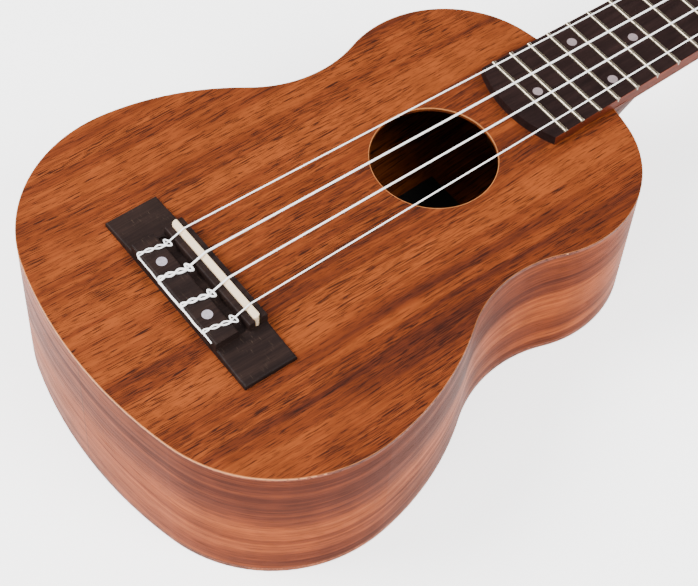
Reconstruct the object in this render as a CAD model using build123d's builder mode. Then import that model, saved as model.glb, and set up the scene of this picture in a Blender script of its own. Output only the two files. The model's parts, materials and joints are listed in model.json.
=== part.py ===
"""Concert-size ukulele, built as separate pieces that lie on the flat back of the body.

Axes: +X to the treble side, +Y to the headstock, +Z up; millimetres.
The back of the body is the plane z = 0.  The soundboard is a flat plane that falls slightly
towards the neck; nearly everything above it is drawn on that plane (TOP), and the headstock
on a plane tipped further back (HEAD).
"""
from build123d import *
from math import atan, copysign, cos, degrees, hypot, radians, sin, sqrt
import os

os.makedirs("parts", exist_ok=True)

# ---------------------------------------------------------------- driving dimensions
SCALE_LENGTH = 345.0
NUT_Y = 405.0                     # string side face of the nut, from the tail along the top
FRET_COUNT = 15

# body outline: arcs (radius, sweep in degrees) from the tail centre to the neck, treble half
BODY_ARCS = ((177.0, 15.1), (58.4, 81.0), (110.0, 29.5), (49.5, -56.9), (45.7, 97.8), (92.0, 13.5))
TAIL_DEPTH = 67.1                 # over the outside of the box at the tail
BACK_TAPER = 0.045                # depth lost per millimetre towards the neck
TOP_THICK = 1.6
BACK_THICK = 2.0
SIDE_THICK = 1.8
HOLE_Y = 158.1
HOLE_RADIUS = 24.5

LINING_WIDTH = 4.5
LINING_HEIGHT = 8.0
TAIL_BLOCK_HALF = 30.0
TAIL_BLOCK_DEPTH = 13.0
NECK_BLOCK_HALF = 27.0
NECK_BLOCK_Y = 214.0

BRIDGE_HALF = 43.6
BRIDGE_BACK = 39.8
BRIDGE_FRONT = 61.8
BLOCK_HALF = 26.2
WING_THICK = 3.4
WING_TIP = 2.0
TIE_TOP = 7.1
TIE_FRONT = 49.5
CHANNEL_FLOOR = 2.8
RIDGE_BACK = 53.9
RIDGE_TOP = 6.9
STRIP_TOP = 7.4
SADDLE_BACK = 56.6
SADDLE_THICK = 2.4
SADDLE_HALF = 25.8
SADDLE_FLOOR = 3.0
SADDLE_TOP = 9.0                  # at the front edge; the top slopes down to the back
SADDLE_LOW = 7.8
DOT_X = 14.05
DOT_Y = 44.7
DOT_RADIUS = 2.0
TIE_HOLE_Z = 5.6

BOARD_THICK = 4.2
BOARD_HALF_12 = 21.2              # half width over the body joint
BOARD_SLOPE = 0.02
BOARD_CORNER_Y = 199.6
BOARD_APEX_Y = 195.0
FRET_CROWN = 2.0
FRET_HEIGHT = 0.8
MARKER_RADIUS = 2.0

NUT_THICK = 4.0
NUT_TOP = 6.2
STRING_AT_NUT = 5.8
NECK_SHOULDER = 1.5
HEEL_SECTIONS = ((0.0, 21.4, 36.0), (8.0, 19.6, 32.0), (14.0, 17.8, 26.5),
                 (22.0, 15.9, 21.0), (36.0, 14.0, 17.5), (64.0, 12.0, 15.0))
HEEL_CAP = 2.0
CAP_HALF = 12.3
CAP_REACH = 15.4
DOWEL_RADIUS = 4.0

HEAD_PITCH = 9.0                  # degrees the headstock tips back
HEAD_LENGTH = 112.0
HEAD_THICK = 11.5
HEAD_FLARE = 9.0                  # where the headstock starts to widen
VENEER = 1.2

POST_X = 17.5
POST_ROWS = (30.0, 70.0)          # from the nut along the headstock
POST_RADIUS = 3.0
POST_TOP = 12.5
WIND_Z = 5.2
GEAR_RADIUS = 6.2
GEAR_TEETH = 14
GEAR_THICK = 3.4
WORM_RADIUS = 2.6
SHAFT_RADIUS = 1.3
PLATE_THICK = 1.0
PLATE_GAP = 1.2                   # gear and worm stand this far off the plate
BUTTON_START = 31.5

# name, x at the saddle, x at the nut, radius, side of the headstock, row of posts
STRINGS = (("g", -20.3, -13.7, 0.34, -1, 0), ("c", -7.0, -4.9, 0.49, -1, 1),
           ("e", 6.8, 3.9, 0.44, 1, 1), ("a", 20.3, 12.7, 0.34, 1, 0))

# ---------------------------------------------------------------- planes
TILT = atan(BACK_TAPER)
PITCH = TILT + radians(HEAD_PITCH)
HEAD_Y = NUT_Y + NUT_THICK
y_min = -TAIL_DEPTH * sin(TILT)
y_max = HEAD_Y * cos(TILT) + HEAD_LENGTH * cos(PITCH) + VENEER * sin(PITCH)
TAIL_Y = -(y_min + y_max) / 2

TOP = Plane(origin=(0, TAIL_Y, TAIL_DEPTH * cos(TILT)), x_dir=(1, 0, 0), z_dir=(0, sin(TILT), cos(TILT)))


def on_top(x, y, z):
    return TOP.from_local_coords(Vector(x, y, z))


HEAD = Plane(origin=on_top(0, HEAD_Y, 0), x_dir=(1, 0, 0), z_dir=(0, sin(PITCH), cos(PITCH)))


def on_head(x, y, z):
    return HEAD.from_local_coords(Vector(x, y, z))


def cross(y):
    """Plane across the instrument at y along the top: local x to treble, local y up."""
    return Plane(origin=on_top(0, y, 0), x_dir=(1, 0, 0), z_dir=-TOP.y_dir)


def along(x):
    """Plane along the instrument at x: local x to the neck, local y up."""
    return Plane(origin=on_top(x, 0, 0), x_dir=TOP.y_dir, z_dir=(1, 0, 0))


def back_depth(y):
    """Distance from the top plane down to the outside of the back."""
    return TAIL_DEPTH - BACK_TAPER * y


BACK = Plane(origin=(0, TAIL_Y + y_min, 0))


def save(part, name):
    part.label = name
    export_step(part, f"parts/{name}.step")


# ---------------------------------------------------------------- outlines
def body_outline(inset=0.0, plane=Plane.XY):
    """Body outline face, moved inwards by inset."""
    with BuildSketch(plane) as outline:
        with BuildLine():
            start = (0, inset)
            heading = (1, 0)
            for radius, sweep in BODY_ARCS:
                arc = JernArc(start, heading, radius - copysign(inset, sweep), sweep)
                start = arc @ 1
                heading = arc % 1
            Line(start, (0, start.Y))
            mirror(about=Plane.YZ)
        make_face()
    return outline.sketch


def board_half(y):
    return BOARD_HALF_12 - BOARD_SLOPE * (y - fret_y(12))


def fret_y(number):
    return NUT_Y - SCALE_LENGTH * (1 - 2 ** (-number / 12))


def board_outline():
    corner = board_half(BOARD_CORNER_Y)
    nut = board_half(NUT_Y)
    with BuildSketch() as outline:
        with BuildLine():
            Polyline((corner, BOARD_CORNER_Y), (nut, NUT_Y), (-nut, NUT_Y), (-corner, BOARD_CORNER_Y))
            ThreePointArc((-corner, BOARD_CORNER_Y), (0, BOARD_APEX_Y), (corner, BOARD_CORNER_Y))
        make_face()
    return outline.sketch


def marker_spots():
    """Centres of the position dots: single at 5, 7, 10 and 15, double at 12."""
    spots = []
    for number in (5, 7, 10, 12, 15):
        y = (fret_y(number - 1) + fret_y(number)) / 2
        spots += [(-12.0, y), (12.0, y)] if number == 12 else [(0.0, y)]
    return spots


def head_outline(first=0.0):
    waist = board_half(NUT_Y)
    with BuildSketch() as outline:
        with BuildLine():
            Polyline((0, first), (waist, first), (waist, HEAD_FLARE))
            Spline((waist, HEAD_FLARE), (28.0, 24), tangents=((0, 1), (0, 1)))
            Line((28.0, 24), (26.0, 106))
            ThreePointArc((26.0, 106), (13.2, 110.5), (0, HEAD_LENGTH))
            mirror(about=Plane.YZ)
        make_face()
    return outline.sketch


# ---------------------------------------------------------------- body shell
with BuildPart() as soundboard:
    with BuildSketch(TOP):
        add(body_outline())
        with Locations((0, HOLE_Y)):
            Circle(HOLE_RADIUS, mode=Mode.SUBTRACT)
        with Locations((-DOT_X, DOT_Y), (DOT_X, DOT_Y)):
            Circle(1.1, mode=Mode.SUBTRACT)
    extrude(amount=-TOP_THICK)
save(soundboard.part, "soundboard")

with BuildPart() as back_plate:
    extrude(body_outline(plane=TOP), amount=-80)
    with BuildSketch(Plane.XY.offset(BACK_THICK)):
        Rectangle(400, 700)
    extrude(amount=-BACK_THICK, mode=Mode.INTERSECT)
save(back_plate.part, "back_plate")


def dowel_faces():
    with BuildSketch(cross(244)) as faces:
        with Locations((0, -15.0), (0, -38.0)):
            Circle(DOWEL_RADIUS)
    return faces.sketch


def side_wall(name, side):
    with BuildPart() as wall:
        with BuildSketch(TOP.offset(-TOP_THICK)):
            add(body_outline())
            add(body_outline(SIDE_THICK), mode=Mode.SUBTRACT)
            with Locations((-side * 100, 120)):
                Rectangle(200, 300, mode=Mode.SUBTRACT)
        extrude(amount=-80)
        with BuildSketch(Plane.XY.offset(BACK_THICK)):
            Rectangle(400, 700)
        extrude(amount=-60, mode=Mode.SUBTRACT)
        extrude(dowel_faces(), amount=28, mode=Mode.SUBTRACT)
    save(wall.part, name)


side_wall("side_bass", -1)
side_wall("side_treble", 1)


def end_block(name, first, last, half):
    """Block that fills the box from top to back, shaped to the inside of the sides."""
    with BuildPart() as block:
        with BuildSketch(TOP.offset(-TOP_THICK)):
            add(body_outline(SIDE_THICK))
            with Locations((0, (first + last) / 2)):
                Rectangle(2 * half, last - first, mode=Mode.INTERSECT)
        extrude(amount=-80)
        with BuildSketch(Plane.XY.offset(BACK_THICK)):
            Rectangle(400, 700)
        extrude(amount=-60, mode=Mode.SUBTRACT)
        if first > HOLE_Y:
            extrude(dowel_faces(), amount=28, mode=Mode.SUBTRACT)
    save(block.part, name)


end_block("tail_block", -5.0, TAIL_BLOCK_DEPTH, TAIL_BLOCK_HALF)
end_block("neck_block", NECK_BLOCK_Y, 240.0, NECK_BLOCK_HALF)


def lining_face(plane):
    """Strip that follows the inside of the sides, stopped at the two end blocks."""
    with BuildSketch(plane) as strip:
        add(body_outline(SIDE_THICK))
        add(body_outline(SIDE_THICK + LINING_WIDTH), mode=Mode.SUBTRACT)
        with Locations((0, TAIL_BLOCK_DEPTH - 20)):
            Rectangle(2 * TAIL_BLOCK_HALF, 40, mode=Mode.SUBTRACT)
        with Locations((0, NECK_BLOCK_Y + 20)):
            Rectangle(2 * NECK_BLOCK_HALF, 40, mode=Mode.SUBTRACT)
    return strip.sketch


with BuildPart() as top_linings:
    extrude(lining_face(TOP.offset(-TOP_THICK)), amount=-LINING_HEIGHT)
save(top_linings.part, "top_linings")

with BuildPart() as back_linings:
    extrude(lining_face(TOP.offset(-TOP_THICK - LINING_HEIGHT)), amount=-80)
    with BuildSketch(Plane.XY.offset(BACK_THICK)):
        Rectangle(400, 700)
    extrude(amount=LINING_HEIGHT, mode=Mode.INTERSECT)
save(back_linings.part, "back_linings")

with BuildPart() as soundboard_braces:
    with BuildSketch(TOP.offset(-TOP_THICK)):
        add(body_outline(SIDE_THICK + LINING_WIDTH))
        with Locations((0, 125), (0, 191)):
            Rectangle(200, 6, mode=Mode.INTERSECT)
    extrude(amount=-8)
    with BuildSketch(TOP.offset(-TOP_THICK)):
        for x, angle in ((-27, -6), (0, 0), (27, 6)):
            with Locations(Location((x, 94, 0), (0, 0, angle))):
                Rectangle(4.5, 50)
    extrude(amount=-5)
save(soundboard_braces.part, "soundboard_braces")

with BuildPart() as bridge_plate:
    with BuildSketch(TOP.offset(-TOP_THICK)):
        with Locations((0, 50.5)):
            RectangleRounded(96, 28, 3)
        with Locations((-DOT_X, DOT_Y), (DOT_X, DOT_Y)):
            Circle(1.1, mode=Mode.SUBTRACT)
    extrude(amount=-2)
save(bridge_plate.part, "bridge_plate")

with BuildPart() as back_braces:
    with BuildSketch(TOP.offset(-30)):
        add(body_outline(SIDE_THICK + LINING_WIDTH))
        with Locations((0, 66), (0, 118)):
            Rectangle(200, 7, mode=Mode.INTERSECT)
    extrude(amount=-60)
    with BuildSketch(Plane.XY.offset(BACK_THICK)):
        Rectangle(400, 700)
    extrude(amount=9, mode=Mode.INTERSECT)
save(back_braces.part, "back_braces")

with BuildPart() as label:
    with BuildSketch(BACK.offset(BACK_THICK)):
        with Locations((0, 157)):
            Rectangle(53.2, 56)
    extrude(amount=0.2)
save(label.part, "label")

# ---------------------------------------------------------------- bridge
def is_wing_rim(edge):
    """Upper edges of the wings: along both long sides and across the tips."""
    middle = TOP.to_local_coords(edge.center())
    return abs(middle.X) > BLOCK_HALF and middle.Z > WING_TIP / 2


with BuildPart() as bridge:
    with BuildSketch(cross(BRIDGE_FRONT)):
        with BuildLine():
            Line((0, WING_THICK), (BLOCK_HALF, WING_THICK))
            ThreePointArc((BLOCK_HALF, WING_THICK), (33, 2.6), (BRIDGE_HALF, WING_TIP))
            Polyline((BRIDGE_HALF, WING_TIP), (BRIDGE_HALF, 0), (0, 0))
            mirror(about=Plane.YZ)
        make_face()
    extrude(amount=BRIDGE_FRONT - BRIDGE_BACK)
    fillet([edge for edge in bridge.edges() if is_wing_rim(edge)], 0.8)
    with BuildSketch(along(-BLOCK_HALF)):
        with BuildLine():
            Polyline((BRIDGE_BACK, TIE_TOP - 0.8), (BRIDGE_BACK, 0), (BRIDGE_FRONT, 0),
                     (BRIDGE_FRONT, STRIP_TOP - 0.5))
            RadiusArc((BRIDGE_FRONT, STRIP_TOP - 0.5), (BRIDGE_FRONT - 0.5, STRIP_TOP), -0.5)
            Polyline((BRIDGE_FRONT - 0.5, STRIP_TOP), (SADDLE_BACK + SADDLE_THICK, STRIP_TOP),
                     (SADDLE_BACK, RIDGE_TOP), (RIDGE_BACK + 0.7, RIDGE_TOP))
            RadiusArc((RIDGE_BACK + 0.7, RIDGE_TOP), (RIDGE_BACK, RIDGE_TOP - 0.7), -0.7)
            Polyline((RIDGE_BACK, RIDGE_TOP - 0.7), (RIDGE_BACK, CHANNEL_FLOOR), (TIE_FRONT, CHANNEL_FLOOR),
                     (TIE_FRONT, TIE_TOP - 0.8))
            RadiusArc((TIE_FRONT, TIE_TOP - 0.8), (TIE_FRONT - 0.8, TIE_TOP), -0.8)
            Line((TIE_FRONT - 0.8, TIE_TOP), (BRIDGE_BACK + 0.8, TIE_TOP))
            RadiusArc((BRIDGE_BACK + 0.8, TIE_TOP), (BRIDGE_BACK, TIE_TOP - 0.8), -0.8)
        make_face()
    extrude(amount=2 * BLOCK_HALF)
    with BuildSketch(TOP.offset(CHANNEL_FLOOR)):
        with Locations((0, (TIE_FRONT + RIDGE_BACK) / 2)):
            SlotOverall(2 * BLOCK_HALF - 1.2, RIDGE_BACK - TIE_FRONT)
    extrude(amount=2, mode=Mode.SUBTRACT)
    with BuildSketch(TOP.offset(SADDLE_FLOOR)):
        with Locations((0, SADDLE_BACK + SADDLE_THICK / 2)):
            Rectangle(2 * BLOCK_HALF, SADDLE_THICK)
    extrude(amount=8, mode=Mode.SUBTRACT)
    with BuildSketch(cross(TIE_FRONT + 0.5)):
        with Locations(*[(string[1], TIE_HOLE_Z) for string in STRINGS]):
            Circle(0.7)
    extrude(amount=12, mode=Mode.SUBTRACT)
    with BuildSketch(TOP.offset(4.5)):
        with Locations((-DOT_X, DOT_Y), (DOT_X, DOT_Y)):
            Circle(DOT_RADIUS)
    extrude(amount=4, mode=Mode.SUBTRACT)
    with BuildSketch(TOP):
        with Locations((-DOT_X, DOT_Y), (DOT_X, DOT_Y)):
            Circle(1.1)
    extrude(amount=5, mode=Mode.SUBTRACT)
save(bridge.part, "bridge")

with BuildPart() as saddle:
    with BuildSketch(TOP.offset(SADDLE_FLOOR)):
        with Locations((0, SADDLE_BACK + SADDLE_THICK / 2)):
            SlotOverall(2 * SADDLE_HALF, SADDLE_THICK)
    extrude(amount=SADDLE_TOP - SADDLE_FLOOR)
    with BuildSketch(along(-SADDLE_HALF)):
        with BuildLine():
            front = SADDLE_BACK + SADDLE_THICK
            Polyline((SADDLE_BACK, SADDLE_LOW - 0.4), (SADDLE_BACK, SADDLE_FLOOR), (front, SADDLE_FLOOR),
                     (front, SADDLE_TOP - 0.4))
            ThreePointArc((front, SADDLE_TOP - 0.4), (front - 0.12, SADDLE_TOP - 0.1),
                          (front - 0.4, SADDLE_TOP))
            Line((front - 0.4, SADDLE_TOP), (SADDLE_BACK + 0.35, SADDLE_LOW))
            ThreePointArc((SADDLE_BACK + 0.35, SADDLE_LOW), (SADDLE_BACK + 0.08, SADDLE_LOW - 0.12),
                          (SADDLE_BACK, SADDLE_LOW - 0.4))
        make_face()
    extrude(amount=2 * SADDLE_HALF, mode=Mode.INTERSECT)
save(saddle.part, "saddle")

with BuildPart() as bridge_dots:
    with BuildSketch(TOP.offset(TIE_TOP)):
        with Locations((-DOT_X, DOT_Y), (DOT_X, DOT_Y)):
            Circle(DOT_RADIUS)
    extrude(amount=-1)
save(bridge_dots.part, "bridge_dots")

with BuildPart() as bridge_screws:
    with BuildSketch(TOP.offset(4.5)):
        with Locations((-DOT_X, DOT_Y), (DOT_X, DOT_Y)):
            Circle(1.9)
            Rectangle(2.8, 0.5, mode=Mode.SUBTRACT)
    extrude(amount=1.4)
    with BuildSketch(TOP.offset(5.1)):
        with Locations((-DOT_X, DOT_Y), (DOT_X, DOT_Y)):
            Circle(1.1)
    extrude(amount=-14)
save(bridge_screws.part, "bridge_screws")

# ---------------------------------------------------------------- neck, fretboard, headstock
def neck_section(y, depth):
    half = board_half(y)
    with BuildSketch(cross(y)) as section:
        with BuildLine():
            Polyline((half, -NECK_SHOULDER), (half, 0), (-half, 0), (-half, -NECK_SHOULDER))
            ThreePointArc((-half, -NECK_SHOULDER), (0, -depth), (half, -NECK_SHOULDER))
        make_face()
    return section.sketch


def heel_outline(plane, half, reach, start):
    """Flat against the body at start, half an ellipse reaching towards the neck."""
    with BuildSketch(plane) as outline:
        with BuildLine():
            Polyline((half, start), (half, start - 6), (-half, start - 6), (-half, start))
            EllipticalCenterArc((0, start), half, reach, start_angle=0, arc_size=180)
        make_face()
    return outline.sketch


BODY_PRISM = extrude(body_outline(plane=TOP.offset(5)), amount=-90)


BODY_END = 232.5

with BuildPart() as neck:
    loft([neck_section(226, 15.5), neck_section(396, 12.8)], ruled=True)
    head_end_plane = Plane(origin=on_head(0, HEAD_FLARE - 2, 0), x_dir=(1, 0, 0), z_dir=-HEAD.y_dir)
    with BuildSketch(head_end_plane, mode=Mode.PRIVATE) as head_end:
        with Locations((0, -HEAD_THICK / 2)):
            Rectangle(2 * board_half(NUT_Y), HEAD_THICK)
    loft([neck_section(396, 12.8), head_end.sketch], ruled=True)
    with BuildSketch(HEAD.offset(-HEAD_THICK)):
        add(head_outline(HEAD_FLARE - 2))
    extrude(amount=HEAD_THICK)
    loft([heel_outline(TOP.offset(-depth), half, reach, BODY_END) for depth, half, reach in HEEL_SECTIONS])
    add(BODY_PRISM, mode=Mode.SUBTRACT)
    with BuildSketch(Plane.XY.offset(HEEL_CAP)):
        Rectangle(400, 700)
    extrude(amount=-60, mode=Mode.SUBTRACT)
    with BuildSketch(TOP):
        with Locations((0, 300)):
            Rectangle(80, 2 * (HEAD_Y - 300))
    extrude(amount=20, mode=Mode.SUBTRACT)
    with BuildSketch(HEAD):
        with Locations((0, 60)):
            Rectangle(80, 120)
    extrude(amount=20, mode=Mode.SUBTRACT)
    extrude(dowel_faces(), amount=28, mode=Mode.SUBTRACT)
    with BuildSketch(HEAD):
        for y in POST_ROWS:
            with Locations((-POST_X, y), (POST_X, y)):
                Circle(POST_RADIUS + 0.75)
    extrude(amount=-20, mode=Mode.SUBTRACT)
    with BuildSketch(HEAD.offset(-HEAD_THICK)):
        for y in POST_ROWS:
            for side in (-1, 1):
                with Locations((side * POST_X, y - 10), (side * POST_X, y + 14)):
                    Circle(0.9)
    extrude(amount=8, mode=Mode.SUBTRACT)
save(neck.part, "neck")

with BuildPart() as neck_dowels:
    extrude(dowel_faces(), amount=28)
save(neck_dowels.part, "neck_dowels")

with BuildPart() as heel_cap:
    cap_plane = Plane(origin=(0, on_top(0, 0, -back_depth(BODY_END)).Y, 0))
    extrude(heel_outline(cap_plane, CAP_HALF, CAP_REACH, BODY_END), amount=HEEL_CAP)
    add(BODY_PRISM, mode=Mode.SUBTRACT)
save(heel_cap.part, "heel_cap")

with BuildPart() as headstock_veneer:
    with BuildSketch(HEAD):
        add(head_outline(0.6))
        for y in POST_ROWS:
            with Locations((-POST_X, y), (POST_X, y)):
                Circle(POST_RADIUS + 0.75, mode=Mode.SUBTRACT)
    extrude(amount=VENEER)
save(headstock_veneer.part, "headstock_veneer")

with BuildPart() as fretboard:
    with BuildSketch(TOP):
        add(board_outline())
    extrude(amount=BOARD_THICK)
    with BuildSketch(along(-25)):
        for number in range(1, FRET_COUNT + 1):
            with Locations((fret_y(number), BOARD_THICK)):
                Rectangle(0.6, 3.0)
    extrude(amount=50, mode=Mode.SUBTRACT)
    with BuildSketch(TOP.offset(BOARD_THICK)):
        with Locations(*marker_spots()):
            Circle(MARKER_RADIUS)
    extrude(amount=-1, mode=Mode.SUBTRACT)
    for x, y in marker_spots():
        shift = x / 4
        with BuildSketch(Plane(origin=on_top(-board_half(y) - 1, y + shift, 2.2), z_dir=(1, 0, 0))):
            Circle(0.9)
        extrude(amount=2.2, mode=Mode.SUBTRACT)
save(fretboard.part, "fretboard")

with BuildPart() as side_markers:
    for x, y in marker_spots():
        shift = x / 4
        with BuildSketch(Plane(origin=on_top(-board_half(y), y + shift, 2.2), z_dir=(1, 0, 0))):
            Circle(0.9)
        extrude(amount=1.2)
save(side_markers.part, "side_markers")

with BuildPart() as fret_markers:
    with BuildSketch(TOP.offset(BOARD_THICK)):
        with Locations(*marker_spots()):
            Circle(MARKER_RADIUS)
    extrude(amount=-1)
save(fret_markers.part, "fret_markers")

with BuildPart() as frets:
    for number in range(1, FRET_COUNT + 1):
        y = fret_y(number)
        half = board_half(y)
        with BuildSketch(along(-half)):
            with BuildLine():
                Line((y - FRET_CROWN / 2, BOARD_THICK), (y + FRET_CROWN / 2, BOARD_THICK))
                ThreePointArc((y + FRET_CROWN / 2, BOARD_THICK), (y, BOARD_THICK + FRET_HEIGHT),
                              (y - FRET_CROWN / 2, BOARD_THICK))
            make_face()
            with Locations((y, BOARD_THICK - 0.65)):
                Rectangle(0.6, 1.5)
        extrude(amount=2 * half)
    for side in (-1, 1):
        for y in (190.0, 410.0):
            edge = side * board_half(y)
            with BuildSketch(cross(y)):
                Polygon((edge + side, BOARD_THICK), (edge, BOARD_THICK + 0.15),
                        (edge - side * 0.7, BOARD_THICK + 1.3), (edge + side, BOARD_THICK + 1.3), align=None)
        loft(ruled=True, mode=Mode.SUBTRACT)
save(frets.part, "frets")

with BuildPart() as nut:
    nut_half = board_half(NUT_Y)
    with BuildSketch(along(-nut_half)):
        Polygon((NUT_Y, 0), (HEAD_Y, 0), (HEAD_Y, NUT_TOP - 1.2), (NUT_Y + 1.2, NUT_TOP),
                (NUT_Y, NUT_TOP), align=None)
    extrude(amount=2 * nut_half)
    for name, saddle_x, nut_x, radius, side, row in STRINGS:
        with BuildSketch(cross(NUT_Y - 1)):
            with Locations((nut_x, STRING_AT_NUT)):
                Circle(radius + 0.03)
            with Locations((nut_x, STRING_AT_NUT + 0.75)):
                Rectangle(2 * radius + 0.06, 1.5)
        extrude(amount=-6, mode=Mode.SUBTRACT)
save(nut.part, "nut")

# ---------------------------------------------------------------- strings
def string_points(saddle_x, nut_x, radius, side, row):
    """Corner points, from just short of the winding to the cut end behind the tie block."""
    reach = POST_RADIUS + radius
    outer = reach + radius + 0.1
    stop = sqrt(outer ** 2 - POST_RADIUS ** 2)
    lift = TIE_TOP + radius + 0.12
    back = BRIDGE_BACK - radius - 0.1
    order = [string[1] for string in STRINGS] + [26.8]
    end_x = order[order.index(saddle_x) + 1] - 2.6
    return [on_head(side * (POST_X - reach), POST_ROWS[row] - stop, WIND_Z),
            on_top(nut_x, HEAD_Y + 0.2, STRING_AT_NUT - 0.02),
            on_top(nut_x, NUT_Y, STRING_AT_NUT),
            on_top(saddle_x, SADDLE_BACK + SADDLE_THICK - 0.4, SADDLE_TOP + radius + 0.03),
            on_top(saddle_x, TIE_FRONT + 0.4, TIE_HOLE_Z + 0.1),
            on_top(saddle_x, back, TIE_HOLE_Z),
            on_top(saddle_x - 2.0, back, lift),
            on_top(saddle_x - 0.9, TIE_FRONT + radius + 0.1, lift),
            on_top(saddle_x + 1.0, TIE_FRONT + radius + 0.1, lift),
            on_top(saddle_x - 0.3, back, lift),
            on_top(saddle_x + 1.6, back, 6.0),
            on_top(end_x, back, 5.9)]


for name, saddle_x, nut_x, radius, side, row in STRINGS:
    points = string_points(saddle_x, nut_x, radius, side, row)
    with BuildPart() as string:
        for start, end in zip(points, points[1:]):
            with BuildSketch(Plane(origin=start, z_dir=end - start)):
                Circle(radius)
            extrude(amount=(end - start).length)
        with Locations(*points[1:-1]):
            Sphere(radius)
    save(string.part, f"string_{name}")

# ---------------------------------------------------------------- tuning machines
GEAR_TOP = -HEAD_THICK - PLATE_THICK - PLATE_GAP
GEAR_MID = GEAR_TOP - GEAR_THICK / 2
WORM_OFFSET = GEAR_RADIUS + 0.3 + WORM_RADIUS

with BuildPart() as tuner_bushings:
    with BuildSketch(HEAD.offset(VENEER)):
        for y in POST_ROWS:
            with Locations((-POST_X, y), (POST_X, y)):
                Circle(POST_RADIUS + 1.7)
                Circle(POST_RADIUS + 0.06, mode=Mode.SUBTRACT)
    extrude(amount=1.0)
    with BuildSketch(HEAD.offset(VENEER)):
        for y in POST_ROWS:
            with Locations((-POST_X, y), (POST_X, y)):
                Circle(POST_RADIUS + 0.75)
                Circle(POST_RADIUS + 0.06, mode=Mode.SUBTRACT)
    extrude(amount=-7.0)
save(tuner_bushings.part, "tuner_bushings")


def worm_plane(x, y):
    """Plane across the worm shaft, normal along +X, centred on the shaft axis."""
    return Plane(origin=on_head(x, y + WORM_OFFSET, GEAR_MID), x_dir=HEAD.y_dir, z_dir=(1, 0, 0))


def tuner_plate(name, side, y):
    with BuildPart() as plate:
        with BuildSketch(HEAD.offset(-HEAD_THICK)):
            with Locations((side * POST_X, y + 2)):
                SlotOverall(31, 13, rotation=90)
            with Locations((side * POST_X, y)):
                Circle(POST_RADIUS + 0.06, mode=Mode.SUBTRACT)
            with Locations((side * POST_X, y - 10), (side * POST_X, y + 14)):
                Circle(1.0, mode=Mode.SUBTRACT)
        extrude(amount=-PLATE_THICK)
        for lug in (-5.6, 4.6):
            lug_plane = worm_plane(side * POST_X + lug, y)
            with BuildSketch(lug_plane):
                Circle(2.4)
                with Locations((0, (GEAR_THICK / 2 + PLATE_GAP) / 2)):
                    Rectangle(4.8, GEAR_THICK / 2 + PLATE_GAP)
                Circle(SHAFT_RADIUS + 0.06, mode=Mode.SUBTRACT)
            extrude(amount=1.0)
    save(plate.part, name)


def tuner_post(name, side, y):
    axis_plane = Plane(origin=on_head(side * POST_X, y, 0), x_dir=(1, 0, 0), z_dir=-HEAD.y_dir)
    with BuildPart() as post:
        with BuildSketch(axis_plane):
            with BuildLine():
                Polyline((0, GEAR_TOP - GEAR_THICK), (2.0, GEAR_TOP - GEAR_THICK), (2.0, GEAR_TOP),
                         (POST_RADIUS, GEAR_TOP), (POST_RADIUS, POST_TOP - 0.8))
                ThreePointArc((POST_RADIUS, POST_TOP - 0.8), (2.7, POST_TOP - 0.2), (2.0, POST_TOP))
                Polyline((2.0, POST_TOP), (0, POST_TOP), (0, GEAR_TOP - GEAR_THICK))
            make_face()
        revolve(axis=Axis(on_head(side * POST_X, y, 0), HEAD.z_dir))
        with BuildSketch(Plane(origin=on_head(side * POST_X - 5, y, 8.9), z_dir=(1, 0, 0))):
            Circle(0.8)
        extrude(amount=10, mode=Mode.SUBTRACT)
        with BuildSketch(HEAD.offset(GEAR_TOP - GEAR_THICK)):
            with Locations((side * POST_X, y)):
                Circle(1.0)
        extrude(amount=4, mode=Mode.SUBTRACT)
    save(post.part, name)


def tuner_gear(name, side, y):
    pitch = 360 / GEAR_TEETH
    with BuildPart() as gear:
        with BuildSketch(HEAD.offset(GEAR_TOP)):
            with Locations((side * POST_X, y)):
                Circle(GEAR_RADIUS - 1.1)
                with PolarLocations(0, GEAR_TEETH):
                    Polygon((0, -0.95), (GEAR_RADIUS - 1, -0.85), (GEAR_RADIUS, -0.4), (GEAR_RADIUS, 0.4),
                            (GEAR_RADIUS - 1, 0.85), (0, 0.95), align=None)
                Circle(2.0, mode=Mode.SUBTRACT)
        extrude(amount=-GEAR_THICK)
    save(gear.part, name)


def gear_screw(name, side, y):
    with BuildPart() as screw:
        with BuildSketch(HEAD.offset(GEAR_TOP - GEAR_THICK)):
            with Locations((side * POST_X, y)):
                Circle(2.6)
        extrude(amount=-1.3)
        with BuildSketch(HEAD.offset(GEAR_TOP - GEAR_THICK)):
            with Locations((side * POST_X, y)):
                Circle(1.0)
        extrude(amount=3.8)
        with BuildSketch(HEAD.offset(GEAR_TOP - GEAR_THICK - 1.3)):
            with Locations((side * POST_X, y)):
                Rectangle(4.4, 0.6)
        extrude(amount=0.6, mode=Mode.SUBTRACT)
    save(screw.part, name)


def worm_shaft(name, side, y):
    post_x = side * POST_X
    with BuildPart() as shaft:
        with BuildSketch(worm_plane(post_x - side * 6.6, y)):
            Circle(SHAFT_RADIUS)
        extrude(amount=side * (BUTTON_START + 6.6 - POST_X + 7))
        with BuildSketch(worm_plane(post_x - side * 4.2, y)):
            Circle(WORM_RADIUS - 0.9)
        extrude(amount=side * 8.4)
        for step in range(5):
            with BuildSketch(worm_plane(post_x + (step - 2) * 1.75 - 0.45, y)):
                Circle(WORM_RADIUS)
            extrude(amount=0.9)
        with BuildSketch(worm_plane(post_x + side * 6.0, y)):
            Circle(2.0)
        extrude(amount=side * 1.0)
    save(shaft.part, name)


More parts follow.
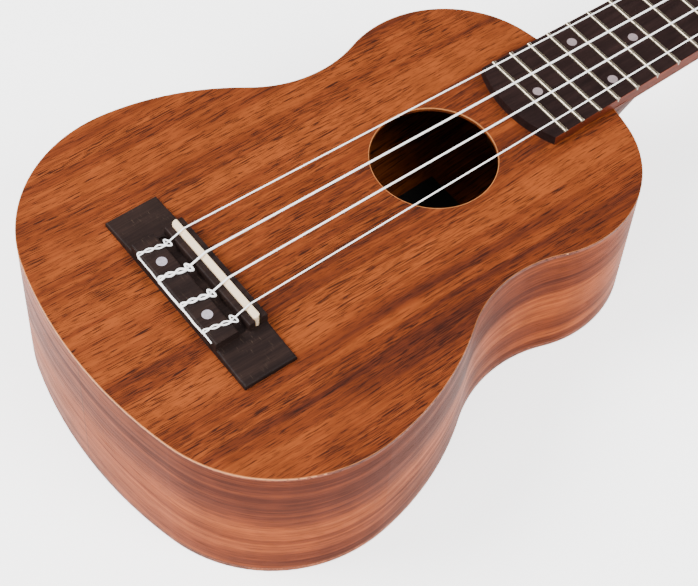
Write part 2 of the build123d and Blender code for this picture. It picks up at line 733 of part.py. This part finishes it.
def tuner_button(name, side, y):
    start = side * BUTTON_START
    with BuildPart() as button:
        middle = Plane(origin=on_head(start, y + WORM_OFFSET, GEAR_MID), x_dir=(1, 0, 0), z_dir=-HEAD.y_dir)
        with BuildSketch(middle):
            with Locations((side * 7.5, 0)):
                Ellipse(7.5, 6.2)
        extrude(amount=2.6, both=True)
        fillet(button.edges().filter_by(GeomType.ELLIPSE), 1.6)
        with BuildSketch(worm_plane(start - side * 2.0, y)):
            Circle(2.4)
        extrude(amount=side * 3.5)
        with BuildSketch(worm_plane(start - side * 2.0, y)):
            Circle(SHAFT_RADIUS)
        extrude(amount=side * 9.0, mode=Mode.SUBTRACT)
    save(button.part, name)


def winding(name, side, y, radius):
    """Turns of string round the post; they turn with it."""
    pitch = 2 * radius + 0.05
    turns = 3
    reach = POST_RADIUS + radius + 0.02
    with BuildPart() as coil:
        with BuildLine():
            helix = Helix(pitch=pitch, height=turns * pitch, radius=reach, lefthand=side > 0)
        with BuildSketch(Plane(origin=helix @ 0, z_dir=helix % 0)):
            Circle(radius)
        sweep(is_frenet=True)
    seat = Plane(origin=on_head(side * POST_X, y, WIND_Z), x_dir=(-side, 0, 0), z_dir=HEAD.z_dir)
    save(coil.part.moved(seat.location), name)


with BuildPart() as tuner_plate_screws:
    for y in POST_ROWS:
        spots = [(side * POST_X, y + step) for side in (-1, 1) for step in (-10, 14)]
        with BuildSketch(HEAD.offset(-HEAD_THICK - PLATE_THICK)):
            with Locations(*spots):
                Circle(1.9)
                Rectangle(2.8, 0.5, mode=Mode.SUBTRACT)
        extrude(amount=-0.9)
        with BuildSketch(HEAD.offset(-HEAD_THICK - PLATE_THICK - 0.3)):
            with Locations(*spots):
                Circle(0.9)
        extrude(amount=8.3)
save(tuner_plate_screws.part, "tuner_plate_screws")

for name, saddle_x, nut_x, radius, side, row in STRINGS:
    y = POST_ROWS[row]
    tuner_plate(f"tuner_plate_{name}", side, y)
    tuner_post(f"post_{name}", side, y)
    tuner_gear(f"gear_{name}", side, y)
    gear_screw(f"gear_screw_{name}", side, y)
    worm_shaft(f"worm_shaft_{name}", side, y)
    tuner_button(f"button_{name}", side, y)
    winding(f"winding_{name}", side, y, radius)
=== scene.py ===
"""Looks of the ukulele: materials for the CAD pieces, tied strings, edge lines, camera and light."""

import bpy
import json
import math
from mathutils import Matrix, Vector


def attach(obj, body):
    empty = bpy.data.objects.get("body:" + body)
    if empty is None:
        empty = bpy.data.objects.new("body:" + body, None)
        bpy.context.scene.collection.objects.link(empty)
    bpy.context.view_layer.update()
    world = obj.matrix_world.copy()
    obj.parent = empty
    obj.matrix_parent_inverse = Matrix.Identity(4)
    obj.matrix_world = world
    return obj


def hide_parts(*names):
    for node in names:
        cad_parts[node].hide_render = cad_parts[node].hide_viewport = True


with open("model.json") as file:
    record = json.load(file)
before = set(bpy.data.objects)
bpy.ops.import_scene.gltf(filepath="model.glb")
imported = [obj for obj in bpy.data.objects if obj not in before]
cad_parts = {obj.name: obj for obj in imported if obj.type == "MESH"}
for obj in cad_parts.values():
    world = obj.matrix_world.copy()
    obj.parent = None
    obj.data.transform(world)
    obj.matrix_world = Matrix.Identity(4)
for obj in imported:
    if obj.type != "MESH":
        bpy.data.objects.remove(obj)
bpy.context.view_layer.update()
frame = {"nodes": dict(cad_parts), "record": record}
nodes = frame["nodes"]

# ------------------------------------------------------------ sizes shared with the CAD, in mm
TILT = math.atan(0.045)
PITCH = TILT + math.radians(9.0)
DEPTH = 67.1
HEAD_Y = 409.0
HEAD_LENGTH = 112.0
VENEER = 1.2
BODY_ARCS = ((177.0, 15.1), (58.4, 81.0), (110.0, 29.5), (49.5, -56.9), (45.7, 97.8), (92.0, 13.5))
HOLE_Y = 158.1
HOLE_RADIUS = 24.5
TIE_BACK = 39.8
TIE_FRONT = 49.5
TIE_TOP = 7.1
TIE_HOLE_Z = 5.6
SADDLE_EDGE = (58.6, 9.0)         # y and z of the saddle's upper front edge
STRING_AT_NUT = 5.8
POST_X = 17.5
POST_RADIUS = 3.0
STRETCHED = 0.86                  # drawn thickness of the taut strings against their nominal one
WIND_Z = 5.2
# name, x at the saddle, x at the nut, radius, side of the headstock, post row
STRINGS = (("g", -20.3, -13.7, 0.34, -1, 30.0), ("c", -7.0, -4.9, 0.49, -1, 70.0),
           ("e", 6.8, 3.9, 0.44, 1, 70.0), ("a", 20.3, 12.7, 0.34, 1, 30.0))

low_y = -DEPTH * math.sin(TILT)
high_y = HEAD_Y * math.cos(TILT) + HEAD_LENGTH * math.cos(PITCH) + VENEER * math.sin(PITCH)
TAIL = Vector((0, -(low_y + high_y) / 2, DEPTH * math.cos(TILT)))


def tilted(origin, angle, x, y, z):
    along = Vector((0, math.cos(angle), -math.sin(angle)))
    up = Vector((0, math.sin(angle), math.cos(angle)))
    return origin + Vector((x, 0, 0)) + along * y + up * z


def top(x, y, z=0.0):
    """Point on the soundboard's own axes, mm, to the row frame in metres."""
    return tilted(TAIL, TILT, x, y, z) / 1000


def head(x, y, z=0.0):
    """Point on the headstock's own axes, mm, to the row frame in metres."""
    return tilted(tilted(TAIL, TILT, 0, HEAD_Y, 0), PITCH, x, y, z) / 1000


# ------------------------------------------------------------ shader graphs
class Graph:
    """A material's node tree, written as nested calls."""

    def __init__(self, name):
        self.material = bpy.data.materials.new(name)
        self.material.use_nodes = True
        self.tree = self.material.node_tree
        self.tree.nodes.clear()
        self.out = self.tree.nodes.new("ShaderNodeOutputMaterial")

    def add(self, kind, inputs=None, **settings):
        node = self.tree.nodes.new(kind)
        for key, value in settings.items():
            setattr(node, key, value)
        for key, value in (inputs or {}).items():
            if isinstance(value, bpy.types.NodeSocket):
                self.tree.links.new(value, node.inputs[key])
            else:
                node.inputs[key].default_value = value
        return node

    def math(self, operation, a, b=0.0, c=0.0):
        node = self.add("ShaderNodeMath", {0: a, 1: b, 2: c}, operation=operation)
        return node.outputs[0]

    def place(self):
        """Position in the row frame, in mm."""
        coords = self.add("ShaderNodeTexCoord")
        scaled = self.add("ShaderNodeVectorMath", {0: coords.outputs["Object"], 1: (1000, 1000, 1000)},
                          operation="MULTIPLY")
        return scaled.outputs[0]

    def stretch(self, vector, scale, offset=(0, 0, 0)):
        node = self.add("ShaderNodeMapping", {"Vector": vector, "Scale": scale, "Location": offset})
        return node.outputs[0]

    def noise(self, vector, detail=2.0, roughness=0.5, distortion=0.0):
        node = self.add("ShaderNodeTexNoise", {"Vector": vector, "Scale": 1.0, "Detail": detail,
                                               "Roughness": roughness, "Distortion": distortion})
        return node.outputs[0]

    def step(self, value, low, high, out_low=0.0, out_high=1.0):
        node = self.add("ShaderNodeMapRange", {0: value, 1: low, 2: high, 3: out_low, 4: out_high},
                        interpolation_type="SMOOTHSTEP")
        return node.outputs[0]

    def ramp(self, value, stops):
        node = self.add("ShaderNodeValToRGB", {0: value})
        elements = node.color_ramp.elements
        while len(elements) < len(stops):
            elements.new(0.5)
        for element, (at, colour) in zip(elements, stops):
            element.position = at
            element.color = (*colour, 1)
        return node.outputs[0]

    def mix(self, factor, a, b, blend="MIX"):
        node = self.add("ShaderNodeMix", data_type="RGBA", blend_type=blend)
        for key, value in ((0, factor), (6, a), (7, b)):
            if isinstance(value, bpy.types.NodeSocket):
                self.tree.links.new(value, node.inputs[key])
            elif key == 0:
                node.inputs[key].default_value = value
            else:
                node.inputs[key].default_value = (*value, 1)
        return node.outputs[2]

    def bump(self, height, strength, distance):
        """Surface relief; distance in mm."""
        node = self.add("ShaderNodeBump", {"Height": height, "Strength": strength,
                                           "Distance": distance / 1000})
        return node.outputs[0]

    def finish(self, colour, roughness=0.5, **more):
        shader = self.add("ShaderNodeBsdfPrincipled", {"Base Color": colour, "Roughness": roughness, **more})
        self.tree.links.new(shader.outputs[0], self.out.inputs[0])
        return self.material


def wood(name, light, middle, dark, pore, grain="y", bands=1.0, pores=1.0, rough=0.45, slope=0.0, seed=0.0):
    """Open-pored wood: broad bands, streaks, fibres and dark broken pore lines along the grain.

    grain "y" runs along the instrument; "side" runs round the bent sides at constant height.
    """
    g = Graph(name)
    place = g.place()
    split = g.add("ShaderNodeSeparateXYZ", {0: place})
    x, y, z = split.outputs
    wander = g.noise(g.stretch(place, (0.006, 0.006, 0.01), (seed, seed, 0)), 1.0)
    wander = g.math("MULTIPLY", g.math("SUBTRACT", wander, 0.5), 14.0)
    if grain == "side":
        lift = g.math("MULTIPLY", g.math("ABSOLUTE", x), slope)
        across = g.math("ADD", g.math("ADD", z, wander), lift)
        grained = g.add("ShaderNodeCombineXYZ", {0: x, 1: y, 2: across}).outputs[0]

        def spread(thin, long, shift=0.0):
            return g.stretch(grained, (long, long, thin), (seed + shift, shift, 0))
    else:
        across = g.math("ADD", x, wander)
        grained = g.add("ShaderNodeCombineXYZ", {0: across, 1: y, 2: z}).outputs[0]

        def spread(thin, long, shift=0.0):
            return g.stretch(grained, (thin, long, thin * 0.5), (seed + shift, shift, 0))
    broad = g.noise(spread(0.042, 0.0022), 2.0, 0.5)
    streak = g.noise(spread(0.26, 0.0045, 3.0), 3.0, 0.62)
    fine_streak = g.noise(spread(1.3, 0.012, 4.0), 2.0, 0.6)
    fibre = g.noise(spread(4.5, 0.06, 5.0), 2.0)
    sheen = g.noise(g.stretch(place, (0.045, 0.09, 0.05), (seed, 9, 0)), 2.0)
    tone = g.math("ADD", g.math("MULTIPLY", g.math("SUBTRACT", broad, 0.5), 1.5 * bands),
                  g.math("MULTIPLY", g.math("SUBTRACT", streak, 0.5), 1.5))
    tone = g.math("ADD", g.math("ADD", tone, 0.5), g.step(fine_streak, 0.3, 0.7, -0.07, 0.07))
    colour = g.ramp(tone, ((0.20, light), (0.50, middle), (0.84, dark)))
    shade = g.math("ADD", g.step(fibre, 0.3, 0.7, -0.07, 0.07), g.step(sheen, 0.3, 0.7, 0.90, 1.10))
    colour = g.mix(1.0, colour, g.add("ShaderNodeCombineColor", {0: shade, 1: shade, 2: shade}).outputs[0],
                   "MULTIPLY")
    density = g.noise(spread(0.10, 0.010, 7.0), 2.0)
    density = g.math("MULTIPLY", g.math("SUBTRACT", density, 0.5), 0.18 * pores)
    coarse = g.math("ADD", g.noise(spread(3.5, 0.075, 11.0), 1.0, 0.4), density)
    fine = g.math("ADD", g.noise(spread(5.2, 0.13, 13.0), 1.0, 0.4), density)
    holes = g.math("MAXIMUM", g.step(coarse, 0.585, 0.640), g.step(fine, 0.60, 0.66, 0.0, 0.9))
    holes = g.math("MULTIPLY", holes, min(1.0, pores))
    colour = g.mix(g.math("MULTIPLY", holes, 0.90), colour, pore)
    height = g.math("SUBTRACT", g.math("MULTIPLY", fibre, 0.2), holes)
    satin = g.step(streak, 0.3, 0.7, rough - 0.04, rough + 0.05)
    roughness = g.math("ADD", satin, g.math("MULTIPLY", holes, 0.2))
    return g, colour, roughness, g.bump(height, 0.3, 0.04)


def finish_wood(parts, edit=None, shine=0.10):
    g, colour, roughness, normal = parts
    if edit:
        colour = edit(g, colour)
    return g.finish(colour, roughness, Normal=normal, **{"Specular IOR Level": shine})


def plain(name, colour, roughness, speckle=0.06, scale=0.8, bump=0.02, **more):
    """Even-coloured material with fine mottling and a little surface relief."""
    g = Graph(name)
    place = g.place()
    cloud = g.noise(g.stretch(place, (scale,) * 3), 4.0, 0.6)
    grit = g.noise(g.stretch(place, (scale * 9,) * 3), 3.0, 0.6)
    shade = g.math("ADD", g.step(cloud, 0.3, 0.7, 1 - speckle, 1 + speckle),
                   g.step(grit, 0.3, 0.7, -speckle / 2, speckle / 2))
    tint = g.mix(1.0, colour, g.add("ShaderNodeCombineColor", {0: shade, 1: shade, 2: shade}).outputs[0],
                 "MULTIPLY")
    rough = g.step(grit, 0.25, 0.75, roughness - 0.05, roughness + 0.06)
    return g.finish(tint, rough, Normal=g.bump(grit, 0.3, bump), **more)


def metal(name, colour, roughness, brushed=(1, 1, 1)):
    """Plated metal with faint drawn lines and wear."""
    g = Graph(name)
    place = g.place()
    lines = g.noise(g.stretch(place, tuple(6 * s for s in brushed)), 3.0, 0.6)
    wear = g.noise(g.stretch(place, (0.35, 0.35, 0.35)), 3.0, 0.6)
    shade = g.step(wear, 0.3, 0.75, 1.04, 0.86)
    tint = g.mix(1.0, colour, g.add("ShaderNodeCombineColor", {0: shade, 1: shade, 2: shade}).outputs[0],
                 "MULTIPLY")
    rough = g.math("ADD", g.step(lines, 0.3, 0.7, roughness - 0.04, roughness + 0.06),
                   g.step(wear, 0.5, 0.8, 0.0, 0.1))
    return g.finish(tint, rough, Metallic=1.0, Normal=g.bump(lines, 0.15, 0.01))


# ------------------------------------------------------------ the woods
def seam_and_painted_foot_shade(g, colour):
    """Dark glue line of the sides' joint at the tail, and painted shade darkening the foot of the sides."""
    x, y, z = g.add("ShaderNodeSeparateXYZ", {0: g.place()}).outputs
    near = g.step(g.math("ABSOLUTE", g.math("ADD", x, 0.15)), 0.10, 0.30, 0.75, 0.0)
    tail = g.step(y, -200.0, -190.0, 1.0, 0.0)
    colour = g.mix(g.math("MULTIPLY", near, tail), colour, (0.05, 0.018, 0.01))
    # painted shade: the sides are darkened towards their foot, next to the floor
    return g.mix(g.step(z, 1.2, 3.0, 0.55, 0.0), colour, (0.09, 0.03, 0.015))


def stained_sides(g, colour):
    """Red-brown stain on the long side faces of the fretboard, taken over from the neck."""
    x, y, z = g.add("ShaderNodeSeparateXYZ", {0: g.place()}).outputs
    reach = g.math("ADD", g.math("ABSOLUTE", x), g.math("MULTIPLY", y, 0.02))
    stain = g.noise(g.stretch(g.place(), (0.3, 0.05, 0.6)), 3.0)
    red = g.ramp(stain, ((0.3, (0.13, 0.023, 0.008)), (0.7, (0.07, 0.013, 0.006))))
    return g.mix(g.step(reach, 20.56, 20.60), colour, red)


def scratches(g, colour):
    """Faint pale lines left by sanding on dark wood, lying across the instrument."""
    place = g.place()
    lines = g.noise(g.stretch(place, (0.16, 3.6, 3.6), (3, 0, 0)), 2.0, 0.5)
    patches = g.noise(g.stretch(place, (0.10, 0.12, 0.1), (0, 8, 0)), 2.0)
    amount = g.math("MULTIPLY", g.step(lines, 0.62, 0.76, 0.0, 0.5), g.step(patches, 0.45, 0.65))
    return g.mix(amount, colour, (0.16, 0.11, 0.075))


TOP_LIGHT = (0.250, 0.0570, 0.0130)
TOP_MIDDLE = (0.155, 0.0320, 0.0084)
TOP_DARK = (0.072, 0.0150, 0.0064)
PORE = (0.018, 0.0050, 0.0034)

top_wood = finish_wood(wood("top_wood", TOP_LIGHT, TOP_MIDDLE, TOP_DARK, PORE, seed=4.0))
side_wood = finish_wood(wood("side_wood", (0.27, 0.060, 0.0125), (0.15, 0.030, 0.0074),
                             (0.066, 0.0135, 0.0054), (0.030, 0.008, 0.0045), grain="side",
                             slope=0.06, pores=0.55, rough=0.40, seed=21.0), seam_and_painted_foot_shade, 0.02)
back_wood = finish_wood(wood("back_wood", (0.26, 0.066, 0.016), (0.17, 0.038, 0.010),
                             (0.09, 0.020, 0.008), PORE, seed=41.0))
neck_wood = finish_wood(wood("neck_wood", (0.115, 0.0220, 0.0075), (0.080, 0.0150, 0.0060),
                             (0.050, 0.0100, 0.0050), PORE, bands=0.5, pores=0.7, seed=61.0), None, 0.05)
veneer_wood = finish_wood(wood("veneer_wood", TOP_LIGHT, TOP_MIDDLE, TOP_DARK, PORE, seed=81.0))
inner_wood = finish_wood(wood("inner_wood", (0.20, 0.085, 0.03), (0.16, 0.065, 0.023), (0.11, 0.042, 0.015),
                              (0.06, 0.025, 0.01), bands=0.5, pores=0.5, rough=0.6, seed=91.0), None, 0.1)
brace_wood = finish_wood(wood("brace_wood", (0.30, 0.17, 0.07), (0.26, 0.14, 0.055), (0.20, 0.10, 0.04),
                              (0.12, 0.06, 0.025), bands=0.4, pores=0.4, rough=0.62, seed=95.0), None, 0.1)
bridge_wood = finish_wood(wood("bridge_wood", (0.023, 0.0125, 0.0100), (0.015, 0.0080, 0.0068),
                               (0.009, 0.0047, 0.0042), (0.004, 0.002, 0.002), bands=0.4, pores=0.35,
                               rough=0.55, seed=33.0), scratches, 0.12)
board_wood = finish_wood(wood("board_wood", (0.024, 0.0120, 0.0108), (0.017, 0.0085, 0.0078),
                              (0.011, 0.0055, 0.0052), (0.005, 0.0026, 0.0025), bands=0.5, pores=0.35,
                              rough=0.50, seed=37.0), stained_sides, 0.08)

bone = plain("bone", (0.88, 0.66, 0.42), 0.36, 0.03, 0.5, 0.02, **{"Subsurface Weight": 0.15,
             "Subsurface Radius": (0.002, 0.0015, 0.001)})
# Strings' nylon with a painted glow: its emission makes them shine white beyond the light falling on them
nylon_painted_glow = plain("nylon_painted_glow", (0.97, 0.97, 0.96), 0.30, 0.01, 2.0, 0.01,
              **{"Emission Color": (1.0, 1.0, 1.0, 1.0), "Emission Strength": 0.7})
label_paper = plain("label_paper", (0.010, 0.008, 0.008), 0.6, 0.15, 0.6, 0.02)
marker = plain("marker_white", (0.27, 0.21, 0.22), 0.3, 0.10, 1.6, 0.01)
pearl = plain("pearl", (0.40, 0.36, 0.41), 0.2, 0.18, 1.2, 0.01)
button_pearl = plain("button_pearl", (0.80, 0.76, 0.68), 0.22, 0.08, 0.4, 0.01,
                     **{"Coat Weight": 0.5, "Coat Roughness": 0.1})
nickel = metal("nickel", (0.72, 0.70, 0.66), 0.20)
fret_metal = metal("fret_metal", (0.34, 0.29, 0.22), 0.26, (0.3, 1, 1))
gear_brass = metal("gear_brass", (0.66, 0.52, 0.26), 0.30)
steel = metal("steel", (0.55, 0.55, 0.55), 0.30)

LOOKS = {"top_wood": top_wood, "side_wood": side_wood, "inner_wood": inner_wood, "brace_wood": brace_wood,
         "label_paper": label_paper, "bridge_wood": bridge_wood, "saddle_bone": bone, "pearl": pearl,
         "screw_steel": steel, "neck_wood": neck_wood, "dowel_wood": brace_wood, "cap_wood": bridge_wood,
         "veneer_wood": veneer_wood, "board_wood": board_wood, "fret_metal": fret_metal,
         "marker_white": marker, "nut_bone": bone, "tuner_nickel": nickel, "screw_nickel": nickel,
         "gear_nickel": gear_brass, "shaft_nickel": nickel, "button_pearl": button_pearl,
         "string_nylon": nylon_painted_glow}
SPECIAL = {"back_plate": back_wood}

slots = {part["node"]: part["material_slot"] for part in frame["record"]["subparts"]}
for node_name, node in nodes.items():
    look = SPECIAL.get(node_name, LOOKS[slots[node_name]])
    node.data.materials.clear()
    node.data.materials.append(look)


# ------------------------------------------------------------ mesh helpers
def add_mesh(name, points, faces, look, body="instrument", smooth=True):
    mesh = bpy.data.meshes.new(name)
    mesh.from_pydata([tuple(p) for p in points], [], faces)
    mesh.update()
    for polygon in mesh.polygons:
        polygon.use_smooth = smooth
    mesh.materials.append(look)
    piece = bpy.data.objects.new(name, mesh)
    bpy.context.scene.collection.objects.link(piece)
    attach(piece, body)
    return piece


def smooth_path(points, steps=5):
    """Catmull-Rom curve through the points."""
    made = []
    padded = [points[0] * 2 - points[1], *points, points[-1] * 2 - points[-2]]
    for a, b, c, d in zip(padded, padded[1:], padded[2:], padded[3:]):
        for step in range(steps):
            t = step / steps
            made.append(0.5 * (b * 2 + (c - a) * t + (a * 2 - b * 5 + c * 4 - d) * t ** 2
                               + (b * 3 - a - c * 3 + d) * t ** 3))
    made.append(points[-1])
    return made


def tube(points, radius, sides=10):
    """Vertices and faces of a round tube along the points, capped at both ends."""
    verts, faces = [], []
    forward = (points[1] - points[0]).normalized()
    across = forward.orthogonal().normalized()
    for index, point in enumerate(points):
        ahead = points[min(index + 1, len(points) - 1)] - points[max(index - 1, 0)]
        ahead.normalize()
        across = (across - ahead * across.dot(ahead)).normalized()
        up = ahead.cross(across)
        for side in range(sides):
            turn = 2 * math.pi * side / sides
            verts.append(point + (across * math.cos(turn) + up * math.sin(turn)) * radius)
    for ring in range(len(points) - 1):
        for side in range(sides):
            a = ring * sides + side
            b = ring * sides + (side + 1) % sides
            faces.append((a, b, b + sides, a + sides))
    faces.append(tuple(reversed(range(sides))))
    faces.append(tuple(range(len(verts) - sides, len(verts))))
    return verts, faces


# ------------------------------------------------------------ strings, tied at the bridge
def tie_points(x, radius, end_x):
    """Tied end: out of the hole, twisted over the tie block, round the taut string, back over the
    block and along its rear face to end_x."""
    crown = TIE_TOP + radius
    behind = TIE_BACK - radius - 0.05

    def pair(t, phase):
        turn = 2 * math.pi * (1.25 * t + phase)
        lift = min(1.0, 5 * t, 5 * (1 - t)) * radius
        sideways = x - 0.9 + 2.1 * t + math.cos(turn) * (radius + 0.25 + 0.2 * t)
        return Vector((sideways, TIE_BACK + 0.3 + 9.6 * t, crown + lift + math.sin(turn) * lift))

    points = [Vector((x, TIE_BACK + 2.5, TIE_HOLE_Z)), Vector((x, TIE_BACK + 0.2, TIE_HOLE_Z)),
              Vector((x - 0.3, behind - 0.1, TIE_HOLE_Z + 0.3)),
              Vector((x - 1.0, behind, TIE_HOLE_Z + 1.0)), Vector((x - 1.4, TIE_BACK - 0.25, TIE_TOP + 0.1))]
    points += [pair(step / 12, 0.5) for step in range(13)]
    points += [Vector((x + 1.9 + radius, TIE_FRONT + 1.0, TIE_TOP + 0.45)),
               Vector((x + 1.9 + radius, TIE_FRONT + 2.3, TIE_TOP - 0.1)),
               Vector((x + 0.2, TIE_FRONT + 2.2, TIE_TOP + 0.1)),
               Vector((x - 1.0, TIE_FRONT + 1.0, TIE_TOP + 0.35))]
    points += [pair(1 - step / 12, 0.0) for step in range(13)]
    points += [Vector((x - 0.5, behind - 0.05, TIE_TOP - 0.3)),
               Vector((x + 0.4, behind - 0.1, TIE_TOP - 1.0)), Vector((x + 1.6, behind, 6.0))]
    span = end_x - x - 1.6
    for share in (0.25, 0.5, 0.75, 1.0):
        sway = 0.12 * math.sin(9 * share + x)
        points.append(Vector((x + 1.6 + span * share, behind - abs(sway), 5.95 + sway)))
    return points


tail_ends = [string[1] - 1.1 for string in STRINGS[1:]] + [24.2]
for (name, saddle_x, nut_x, radius, side, row), end_x in zip(STRINGS, tail_ends):
    reach = POST_RADIUS + radius
    clear = reach + radius + 0.1
    stop = math.sqrt(clear ** 2 - POST_RADIUS ** 2)
    radius *= STRETCHED
    edge_y, edge_z = SADDLE_EDGE
    over = [head(side * (POST_X - reach), row - stop, WIND_Z),
            top(nut_x, HEAD_Y + 0.1, STRING_AT_NUT - 0.05), top(nut_x, HEAD_Y - 3.6, STRING_AT_NUT),
            top(saddle_x, edge_y + 0.5, edge_z + radius + 0.02), top(saddle_x, edge_y, edge_z + radius),
            top(saddle_x, edge_y - 0.5, edge_z + radius - 0.19),
            top(saddle_x, TIE_FRONT + 0.4, TIE_HOLE_Z + 0.15), top(saddle_x, TIE_FRONT - 2.0, TIE_HOLE_Z)]
    main_points, main_faces = tube(over, radius / 1000, 12)
    tied = [top(*point) for point in smooth_path(tie_points(saddle_x, radius, end_x))]
    tie_verts, tie_faces = tube(tied, radius / 1000, 10)
    count = len(main_points)
    faces = main_faces + [tuple(v + count for v in face) for face in tie_faces]
    piece = add_mesh(f"tied_string_{name}", main_points + tie_verts, faces, nylon_painted_glow)
    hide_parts(f"string_{name}")


# ------------------------------------------------------------ pale edge lines of the laminate
def body_edge(inset, step=2.0):
    """Points of the body outline on the soundboard's axes, moved inwards by inset."""
    half = []
    at = Vector((0, inset))
    heading = 0.0
    for radius, sweep in BODY_ARCS:
        size = radius - math.copysign(inset, sweep)
        turn = math.copysign(1, sweep)
        centre = at + Vector((-math.sin(heading), math.cos(heading))) * size * turn
        count = max(4, round(size * math.radians(abs(sweep)) / step))
        for index in range(count):
            angle = heading + math.radians(sweep) * index / count
            half.append(centre + Vector((math.sin(angle), -math.cos(angle))) * size * turn)
        heading += math.radians(sweep)
        at = centre + Vector((math.sin(heading), -math.cos(heading))) * size * turn
    half.append(at)
    return half + [Vector((-p.x, p.y)) for p in reversed(half[1:])]


def ring_mesh(loops):
    """Faces between closed loops of equal length, first to last."""
    count = len(loops[0])
    points = [point for loop in loops for point in loop]
    faces = []
    for level in range(len(loops) - 1):
        for index in range(count):
            a = level * count + index
            b = level * count + (index + 1) % count
            faces.append((a, b, b + count, a + count))
    return points, faces


edge_look = plain("edge_line", (0.50, 0.185, 0.055), 0.42, 0.08, 0.3, 0.02, **{"Specular IOR Level": 0.3})
outer = body_edge(-0.06)
mid = body_edge(0.22)
points, faces = ring_mesh([[top(p.x, p.y, -0.75) for p in outer],
                           [top(p.x, p.y, -0.12) for p in outer],
                           [top(p.x, p.y, 0.03) for p in body_edge(0.12)],
                           [top(p.x, p.y, 0.012) for p in mid]])
add_mesh("top_edge_line", points, faces, edge_look)


def hole_loop(radius, z):
    turns = [2 * math.pi * index / 120 for index in range(120)]
    return [top(radius * math.cos(turn), HOLE_Y + radius * math.sin(turn), z) for turn in turns]


points, faces = ring_mesh([hole_loop(HOLE_RADIUS + 0.26, 0.012), hole_loop(HOLE_RADIUS + 0.1, 0.03),
                           hole_loop(HOLE_RADIUS - 0.04, -0.05), hole_loop(HOLE_RADIUS - 0.04, -0.45)])
add_mesh("hole_edge_line", points, faces, edge_look)


# ------------------------------------------------------------ floor, light, camera
floor_look = plain("floor", (0.97, 0.97, 0.97), 0.9, 0.004, 0.01, 0.0,
                   **{"Emission Color": (1.0, 1.0, 1.0, 1.0), "Emission Strength": 2.2})
mesh = bpy.data.meshes.new("floor")
mesh.from_pydata([(-6, -6, -0.0002), (6, -6, -0.0002), (6, 6, -0.0002), (-6, 6, -0.0002)], [], [(0, 1, 2, 3)])
mesh.materials.append(floor_look)
floor = bpy.data.objects.new("floor", mesh)
bpy.context.scene.collection.objects.link(floor)

world = bpy.data.worlds.new("studio")
world.use_nodes = True
world.node_tree.nodes["Background"].inputs[0].default_value = (1.0, 1.0, 1.0, 1)
world.node_tree.nodes["Background"].inputs[1].default_value = 0.48
bpy.context.scene.world = world


def soft_light(name, place, aim, size, power):
    data = bpy.data.lights.new(name, "AREA")
    data.shape = "DISK"
    data.size = size
    data.energy = power
    light = bpy.data.objects.new(name, data)
    light.location = place
    light.rotation_euler = (Vector(aim) - Vector(place)).to_track_quat("-Z", "Y").to_euler()
    bpy.context.scene.collection.objects.link(light)
    return light


soft_light("key", (-0.75, -1.05, 1.45), (0, -0.1, 0.05), 1.0, 52)
soft_light("fill", (1.15, 0.25, 1.25), (0, -0.1, 0.05), 1.0, 30)
soft_light("front", (0.35, -1.5, 0.75), (0, -0.1, 0.05), 0.8, 14)

camera_data = bpy.data.cameras.new("camera")
camera_data.lens = 94.8
camera_data.sensor_width = 36.0
camera = bpy.data.objects.new("camera", camera_data)
eye = Vector((0.3201, -0.39197, 0.60391))
target = Vector((0.03002, -0.16298, 0.06))
aim = (target - eye).to_track_quat("-Z", "Y")
camera.rotation_mode = "QUATERNION"
camera.rotation_quaternion = aim @ Matrix.Rotation(math.radians(1.113), 3, "Z").to_quaternion()
camera.location = eye
camera_data.clip_start = 0.01
camera_data.clip_end = 20
bpy.context.scene.collection.objects.link(camera)
bpy.context.scene.camera = camera
